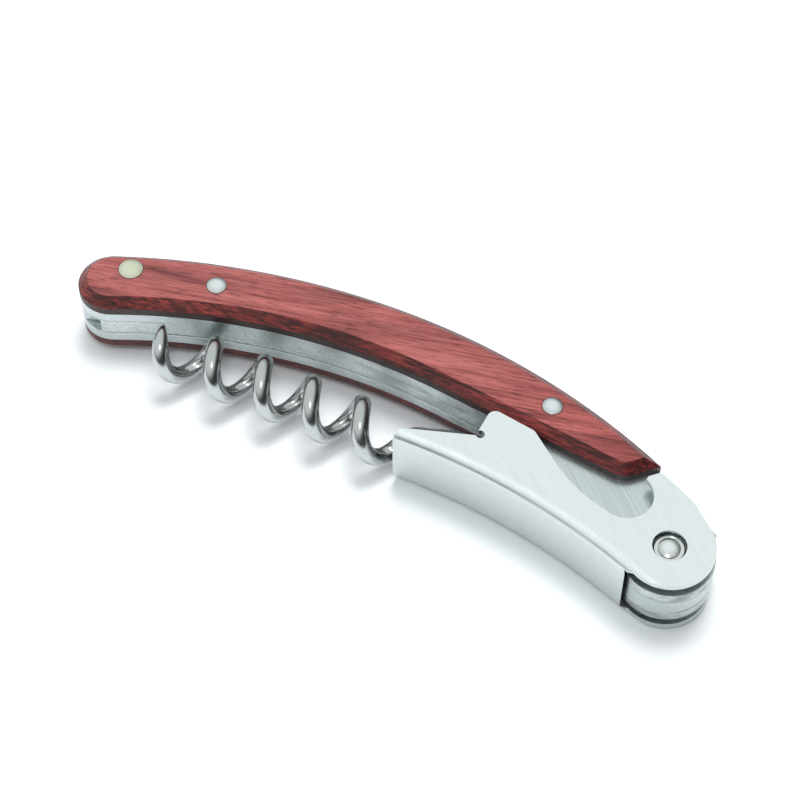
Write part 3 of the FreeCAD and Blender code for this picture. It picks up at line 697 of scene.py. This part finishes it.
def cap(radius: float, foot: float, rise: float) -> list[Level]:
    """Outline of a spherical cap, from its rim up to its crown.

    Args:
        radius: Radius at the rim.
        foot: Level of the rim.
        rise: Height of the crown above the rim.

    Returns:
        Points of radius and height.
    """
    ball = (radius ** 2 + rise ** 2) / (2 * rise)
    reach = math.asin(radius / ball)
    angles = [reach * (1 - k / CAP_STEPS) for k in range(CAP_STEPS + 1)]
    return [(ball * math.sin(a), foot + rise - ball * (1 - math.cos(a))) for a in angles]


def rounded_rim(bottom: float, top: float, radius: float) -> list[Level]:
    """Profile of a plate with rounded edges."""
    corners = [(3 * radius, bottom), (0.0, bottom), (0.0, top), (3 * radius, top)]
    return softened(corners, radius, 4)[1:-1]


# ---------------------------------------------------------------- handle

@dataclass
class Stack:
    """Liners, back spring and nose spacer: the steel layers between the scales."""

    liner_edge: float = 0.16 * MM
    middle_edge: float = 0.05 * MM
    joint_groove: float = 0.32 * MM
    liners: tuple[str, ...] = ("front_liner", "rear_liner")
    middles: tuple[str, ...] = ("back_spring", "nose_spacer")

    def build(self, nodes: dict[str, bpy.types.Object]) -> None:
        """Make the layers with softened edges.

        Args:
            nodes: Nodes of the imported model.
        """
        # the liner takes painted shade on its upright walls, and both take the coils' painted shadow on
        # their edges
        plate = BrushedSteel("liner_brushed", (0.66, 0.72, 0.72), roughness=0.30, line_turn=40.0,
                             line_depth=0.000006, mottle=0.07, coil_shade_span=(-0.040, 0.030), wall=0.84).make()
        ground = BrushedSteel("spring_ground", (0.58, 0.625, 0.625), roughness=0.34,
                              line_depth=0.000006, mottle=0.07, speckle=0.45, coil_shade_span=(-0.035, 0.012)).make()
        nose = BrushedSteel("spacer_ground", (0.52, 0.57, 0.57), roughness=0.32).make()
        for name in self.liners:
            bottom, top = (corner.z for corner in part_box(name))
            mesh = slab(face_loops(nodes[name], top), rounded_rim(bottom, top, self.liner_edge))
            piece(name + "_plate", mesh, plate, "handle", [name])
        for name in self.middles:
            bottom, top = (corner.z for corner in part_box(name))
            mesh = slab(face_loops(nodes[name], top), self.grooved_rim(bottom, top))
            finish = ground if name == "back_spring" else nose
            piece(name + "_plate", mesh, finish, "handle", [name])

    def grooved_rim(self, bottom: float, top: float) -> list[Level]:
        """Profile of a middle layer: a groove at its lower joint and a rounded upper edge.

        Args:
            bottom: Level of its lower face.
            top: Level of its upper face.

        Returns:
            Inset and height of each ring.
        """
        rim = rounded_rim(bottom, top, self.middle_edge)
        upper = [(inset, height) for inset, height in rim if height > (bottom + top) / 2]
        return [(self.joint_groove, bottom), (0.0, bottom + self.joint_groove), *upper]


@dataclass
class Scales:
    """Wooden grips: upright foot, broad chamfer and a flat top."""

    foot: float = 3.70 * MM         # middle plane out to the liner
    softness: float = 0.30 * MM

    def above_foot(self, point: Vector) -> bool:
        """Whether a point is off the face that lies on the liner."""
        return abs(point.z - MIDDLE) > self.foot + 0.1 * MM

    def build(self, nodes: dict[str, bpy.types.Object]) -> None:
        """Make both scales.

        Args:
            nodes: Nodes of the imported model.
        """
        pins = []
        for name in ("knife_pin", "left_rivet_stud", "right_rivet_stud"):
            low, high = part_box(name)
            pins.append(((low.x + high.x) / 2, (low.y + high.y) / 2, (high.x - low.x) / 2))
        for side, name in ((Side.FRONT, "front_scale"), (Side.REAR, "rear_scale")):
            wood = OiledHardwood(name + "_hardwood", 7.0 * side.value,
                                 # the front scale's wall gets more painted shade than the rear's
                                 painted_wall_shade=0.88 if side is Side.FRONT else 0.35, pins=tuple(pins)).make()
            mesh = softened_copy(nodes[name], self.softness, 25.0, self.above_foot)
            piece(name + "_grip", mesh, wood, "handle", [name], crease=60.0)


@dataclass
class Pins:
    """Domed rivets and pins through the stack."""

    seat: float = 6.90 * MM         # middle plane out to the scale's face
    rise: float = 0.45 * MM
    lip: float = 0.08 * MM
    ease: float = 0.05 * MM         # rounding of the head's lower edge
    shaft: float = 1.5 * MM
    heads: dict[str, tuple[float, str]] = field(default_factory=lambda: {
        "left_rivet": (1.7 * MM, "rivet_steel"), "right_rivet": (1.7 * MM, "rivet_steel"),
        "knife_pin": (2.1 * MM, "pin_brass")})

    def dome(self, radius: float) -> list[Level]:
        """Outline of a pin with a crowned head at each end.

        Args:
            radius: Radius of the heads.

        Returns:
            Closed outline of radius and height.
        """
        crown = cap(radius, self.seat + self.lip, self.rise - self.lip)
        upper = [(self.shaft, self.seat), (radius - self.ease, self.seat),
                 (radius, self.seat + 0.8 * self.ease), *crown]
        lower = [(r, -z) for r, z in reversed(upper)]
        return [(r, MIDDLE + z) for r, z in lower + upper]

    def build(self) -> None:
        """Make the scale rivets and the knife pin."""
        # rim=0.55 paints shade on the slopes of each head
        steel = PolishedMetal("rivet_polish", (0.80, 0.84, 0.83), 0.20, 0.15, rim=0.55).make()
        brass = PolishedMetal("pin_pale_brass", (0.74, 0.76, 0.58), 0.20, 0.15, rim=0.55).make()
        for name, (radius, slot) in self.heads.items():
            old = [name] if name == "knife_pin" else [name + "_stud", name + "_socket"]
            low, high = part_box(old[0])
            mesh = lathe(self.dome(radius), (low + high) / 2)
            piece(name + "_dome", mesh, brass if slot == "pin_brass" else steel, "handle", old)


# ---------------------------------------------------------------- lever

@dataclass
class LeverArm:
    """Folded sheet lever with its pressed bushes and rivet."""

    pivot: Vector
    edge: float = 0.38 * MM
    sharp_angle: float = 50.0       # bends sharper than this are rounded
    bush_hole: float = 1.55 * MM
    bush_out: float = 2.83 * MM
    bush_top: float = 5.80 * MM
    bush_foot: float = 3.75 * MM
    bush_chamfer: float = 0.4 * MM
    rivet: float = 1.85 * MM
    rivet_shaft: float = 1.5 * MM
    rivet_rim: float = 0.2 * MM     # upright part of the head, above its seat
    rivet_rise: float = 0.45 * MM
    rivet_ease: float = 0.06 * MM

    def build(self, nodes: dict[str, bpy.types.Object]) -> None:
        """Make the lever, its bushes and the lever rivet.

        Args:
            nodes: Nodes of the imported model.
        """
        # wall=0.70 paints shade on the lever's upright web
        sheet = BrushedSteel("lever_satin", (0.86, 0.91, 0.905), roughness=0.28, line_turn=40.0,
                             line_depth=0.0000035, mottle=0.024, wall=0.70).make()
        # rim paints shade on the bush's chamfer and the rivet's dome
        ring = PolishedMetal("bush_turned", (0.74, 0.76, 0.75), 0.24, 0.2, rim=0.28).make()
        polish = PolishedMetal("lever_rivet_polish", (0.82, 0.86, 0.85), 0.20, 0.15, rim=0.6).make()
        folded = softened_copy(nodes["lever"], self.edge, self.sharp_angle)
        piece("lever_sheet", folded, sheet, "lever", ["lever"])
        for side, name in ((Side.FRONT, "front_lever_bush"), (Side.REAR, "rear_lever_bush")):
            outline = softened([(self.bush_hole, self.bush_foot), (self.bush_out, self.bush_foot),
                                (self.bush_out, self.bush_top - self.bush_chamfer),
                                (self.bush_out - self.bush_chamfer, self.bush_top),
                                (self.bush_hole, self.bush_top)], 0.08 * MM)
            if side is Side.REAR:
                outline = [(r, -z) for r, z in reversed(outline)]
            mesh = lathe([(r, MIDDLE + z) for r, z in outline], self.pivot)
            piece(name + "_ring", mesh, ring, "lever", [name])
        piece("lever_rivet_head", lathe(self.rivet_outline(), self.pivot), polish, "handle",
              ["lever_rivet"])

    def rivet_outline(self) -> list[Level]:
        """Outline of the lever rivet: a shaft with a low dome at each end.

        Returns:
            Closed outline of radius and height.
        """
        seat = self.bush_top + 0.05 * MM
        dome = cap(self.rivet, seat + self.rivet_rim, self.rivet_rise)
        upper = [(self.rivet_shaft, seat), (self.rivet - self.rivet_ease, seat),
                 (self.rivet, seat + self.rivet_ease), *dome]
        lower = [(r, -z) for r, z in reversed(upper)]
        return [(r, MIDDLE + z) for r, z in lower + upper]


# ---------------------------------------------------------------- worm

@dataclass
class Worm:
    """Right-handed wire helix with a ground tip, a bowed shank and an eye."""

    pivot: Vector
    wire: float = 1.5 * MM
    coil: float = 3.8 * MM
    pitch: float = 9.42 * MM
    top: float = -55.55 * MM            # places along the worm, from its pivot
    tip: float = -64.3 * MM
    tip_length: float = 2.4 * MM
    tip_radius: float = 0.22 * MM
    tip_point: float = 0.3 * MM         # the closing point, ahead of the tip
    slow: float = -25.0 * MM
    slowing: float = 0.95 / MM ** 2
    leave: float = -20.5 * MM
    leave_length: float = 7.5 * MM
    bow: float = 0.00086 / MM ** 2
    drop: float = 2.9 * MM
    lean: tuple[float, float, float] = (-45.0 * MM, 11.0 * MM, 0.6 * MM)
    stretch: tuple[float, float, float] = (-56.0 * MM, 5.0 * MM, 0.7 * MM)
    eye: float = 2.75 * MM
    bore: float = 1.25 * MM
    eye_half: float = 1.38 * MM
    inside: float = -0.2 * MM           # end of the wire, hidden in the eye
    groove: float = 0.16 * MM
    groove_turn: float = 200.0          # place of the flute around the wire, from the coil's outside
    groove_edge: float = 0.94           # cosine at which the flute starts
    around: int = 32
    rings: int = 420

    def change(self, x: float, kind: tuple[float, float, float]) -> float:
        """Amount of a change that starts at a place, runs on towards the tip and then holds."""
        start, run, amount = kind
        return amount * min(max((start - x) / run, 0.0), 1.0)

    def axis(self, x: float) -> float:
        """Height of the coil's axis at a place along the worm."""
        return -self.drop - self.change(x, self.lean)

    def centre(self, x: float) -> Vector:
        """Centre of the wire.

        Args:
            x: Place along the worm, from its pivot.

        Returns:
            Point, from the pivot.
        """
        turned_to = x + self.change(x, self.stretch)
        turn = math.radians(360 * (turned_to - self.top) / self.pitch
                            - self.slowing * max(x - self.slow, 0.0) ** 2)
        shank = self.eye - self.bow * abs(x) ** 3
        share = min(max((x - self.leave) / self.leave_length, 0.0), 1.0)
        share = share * share * (3 - 2 * share)
        y, z = self.axis(x) + self.coil * math.cos(turn), self.coil * math.sin(turn)
        return Vector((x, y + share * (shank - y), z * (1 - share)))

    def radius(self, x: float) -> float:
        """Radius of the wire at a place along the worm."""
        share = min((x - self.tip) / self.tip_length, 1.0)
        return self.tip_radius + (self.wire - self.tip_radius) * math.sin(max(share, 0.0) * math.pi / 2)

    def ring(self, x: float) -> list[Vector]:
        """Points around the wire, with the flute ground along its inner side.

        Args:
            x: Place along the worm, from its pivot.

        Returns:
            Points in the object's frame.
        """
        here = self.centre(x)
        run = (self.centre(x + 0.01 * MM) - self.centre(x - 0.01 * MM)).normalized()
        out = Vector((0, here.y - self.axis(x), here.z))
        out = (out - run * out.dot(run)).normalized()
        across = run.cross(out)
        size = self.radius(x)
        points = []
        for k in range(self.around):
            angle = math.tau * k / self.around
            near = math.cos(angle - math.radians(self.groove_turn))
            share = max((near - self.groove_edge) / (1 - self.groove_edge), 0.0)
            dip = self.groove * share * size / self.wire
            points.append(self.pivot + here
                          + (out * math.cos(angle) + across * math.sin(angle)) * (size - dip))
        return points

    def wire_mesh(self) -> bpy.types.Mesh:
        """Tube along the wire, closed at the tip and inside the eye.

        Returns:
            Closed mesh.
        """
        count = self.rings
        rings = [self.ring(self.tip + (self.inside - self.tip) * k / count) for k in range(count + 1)]
        points = [point for ring in rings for point in ring]
        faces = []
        for row in range(count):
            low = row * self.around
            faces += [(low + k, low + self.around + k, low + self.around + (k + 1) % self.around,
                       low + (k + 1) % self.around) for k in range(self.around)]
        start = self.centre(self.tip)
        ahead = (start - self.centre(self.tip + 0.1 * MM)).normalized()
        points += [self.pivot + start + ahead * self.tip_point, self.pivot + self.centre(self.inside)]
        last = count * self.around
        faces += [(len(points) - 2, k, (k + 1) % self.around) for k in range(self.around)]
        faces += [(len(points) - 1, last + (k + 1) % self.around, last + k) for k in range(self.around)]
        mesh = bpy.data.meshes.new("worm_wire")
        mesh.from_pydata([tuple(point) for point in points], [], faces)
        mesh.validate()
        return mesh

    def build(self) -> None:
        """Make the worm and its eye."""
        steel = PolishedMetal("worm_polish", (0.52, 0.54, 0.535), roughness=0.20, patch=0.25,
                              patch_size=1500.0, patch_from=(-0.018, -0.008)).make()
        piece("worm_wire", self.wire_mesh(), steel, "worm", ["worm"])
        swell = [(self.eye + self.wire * math.cos(a), self.wire * math.sin(a))
                 for a in (math.radians(t) for t in range(-66, 67, 11))]
        outline = [(self.bore, -self.eye_half), *swell, (self.bore, self.eye_half)]
        ring = lathe([(r, MIDDLE + z) for r, z in outline], self.pivot)
        piece("worm_eye", ring, steel, "worm")


# ---------------------------------------------------------------- plain nodes

@dataclass
class InnerParts:
    """Nodes that keep their own shape and only take a finish."""

    washers: tuple[str, ...] = ("front_worm_washer", "rear_worm_washer", "front_knife_washer",
                                "rear_knife_washer")

    def dress(self, nodes: dict[str, bpy.types.Object]) -> None:
        """Give the blade, the washers and the worm pin their finishes.

        Args:
            nodes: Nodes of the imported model.
        """
        washer = PolishedMetal("washer_turned", (0.62, 0.63, 0.61), 0.26, 0.2).make()
        blade = BrushedSteel("blade_satin", (0.74, 0.76, 0.76), 0.28, 12.0, 0.000005, 0.05).make()
        pin = PolishedMetal("worm_pin_polish", (0.80, 0.82, 0.80), 0.2, 0.2).make()
        for name in self.washers:
            self.paint(nodes[name], washer)
        self.paint(nodes["knife_blade"], blade)
        self.paint(nodes["worm_pin"], pin)

    def paint(self, node: bpy.types.Object, finish: bpy.types.Material) -> None:
        """Swap a node's material."""
        node.data.materials.clear()
        node.data.materials.append(finish)


# ---------------------------------------------------------------- studio

@dataclass
class Studio:
    """Pale floor, soft lights and the camera."""

    target: Vector = field(default_factory=lambda: Vector((-2.8 * MM, 6.5 * MM, 0.0)))
    azimuth: float = 27.0
    elevation: float = 55.0
    distance: float = 395.8 * MM
    lens: float = 102.06
    floor_reach: float = 4.0
    floor_gap: float = 0.02 * MM
    sky_axis: tuple[float, float, float] = (-0.45, 0.0, 0.89)   # the dome is darkest opposite
    sky_tint: tuple[float, float, float] = (0.95, 0.99, 1.0)
    sky_strength: float = 0.96
    sky_stops: tuple[tuple[float, float], ...] = (      # place along the axis and grey
        (0.0, 0.04), (0.20, 0.12), (0.40, 0.55), (0.60, 0.95), (1.0, 1.0))

    def camera(self) -> None:
        """Place the camera."""
        data = bpy.data.cameras.new("camera")
        data.lens, data.sensor_width = self.lens, 36.0
        data.clip_start, data.clip_end = 0.01, 50.0
        eye = bpy.data.objects.new("camera", data)
        az, el = math.radians(self.azimuth), math.radians(self.elevation)
        away = Vector((math.sin(az) * math.cos(el), -math.cos(az) * math.cos(el), math.sin(el)))
        eye.location = self.target + away * self.distance
        eye.rotation_euler = away.to_track_quat("Z", "Y").to_euler()
        bpy.context.scene.collection.objects.link(eye)
        bpy.context.scene.camera = eye

    def floor(self) -> None:
        """Lay the floor."""
        mesh = bpy.data.meshes.new("floor")
        reach = self.floor_reach
        mesh.from_pydata([(-reach, -reach, 0), (reach, -reach, 0), (reach, reach, 0), (-reach, reach, 0)],
                         [], [(0, 1, 2, 3)])
        mesh.materials.append(PaleFloor().make())
        floor = bpy.data.objects.new("floor", mesh)
        floor.location.z = -self.floor_gap
        bpy.context.scene.collection.objects.link(floor)

    def light(self, name: str, place: Sequence[float], size: float, power: float,
              tint: Sequence[float] = (1, 1, 1), glossy: bool = True) -> None:
        """Hang a square soft light that faces the object.

        Args:
            name: Name of the light.
            place: Place in metres.
            size: Side of the square in metres.
            power: Power in watts.
            tint: Colour.
            glossy: Whether it shows in reflections.
        """
        data = bpy.data.lights.new(name, "AREA")
        data.shape, data.size, data.energy, data.color = "SQUARE", size, power, tint
        lamp = bpy.data.objects.new(name, data)
        lamp.location = place
        lamp.rotation_euler = Vector(place).to_track_quat("Z", "Y").to_euler()
        lamp.visible_glossy = glossy
        bpy.context.scene.collection.objects.link(lamp)

    def sky(self) -> None:
        """Light the scene from a dome that is bright above and dim at the horizon."""
        world = bpy.data.worlds.new("studio")
        bpy.context.scene.world = world
        world.use_nodes = True
        tree = world.node_tree
        tree.nodes.clear()
        out = tree.nodes.new("ShaderNodeOutputWorld")
        back = tree.nodes.new("ShaderNodeBackground")
        ramp = tree.nodes.new("ShaderNodeValToRGB")
        height = tree.nodes.new("ShaderNodeVectorMath")
        height.operation = "DOT_PRODUCT"
        height.inputs[1].default_value = self.sky_axis
        place = tree.nodes.new("ShaderNodeTexCoord")
        bar = ramp.color_ramp
        while len(bar.elements) < len(self.sky_stops):
            bar.elements.new(1.0)
        for element, (position, grey) in zip(bar.elements, self.sky_stops):
            element.position, element.color = position, (*(part * grey for part in self.sky_tint), 1)
        tree.links.new(place.outputs["Generated"], height.inputs[0])
        tree.links.new(height.outputs["Value"], ramp.inputs["Fac"])
        tree.links.new(ramp.outputs["Color"], back.inputs["Color"])
        back.inputs["Strength"].default_value = self.sky_strength
        tree.links.new(back.outputs["Background"], out.inputs["Surface"])

    def build(self) -> None:
        """Set up the whole studio."""
        bpy.context.scene.view_settings.view_transform = "Standard"
        self.floor()
        self.sky()
        self.light("key", (-0.03, 0.24, 0.76), 0.34, 4.5, (1.0, 0.985, 0.97), glossy=False)
        self.light("strip", (0.07, -0.22, 0.60), 0.10, 0.5)
        self.camera()


def main() -> None:
    """Load the frame, build each part and dress it."""
    logging.basicConfig(level=logging.INFO, format="%(name)s %(message)s")
    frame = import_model()
    nodes = frame["nodes"]
    pivots = {joint["name"]: Vector(joint["pos_m"]) for joint in frame["joints"]}
    Stack().build(nodes)
    Scales().build(nodes)
    Pins().build()
    LeverArm(pivots["lever_pivot"]).build(nodes)
    Worm(pivots["worm_pivot"]).build()
    InnerParts().dress(nodes)
    Studio().build()


if __name__ == "__main__":
    main()
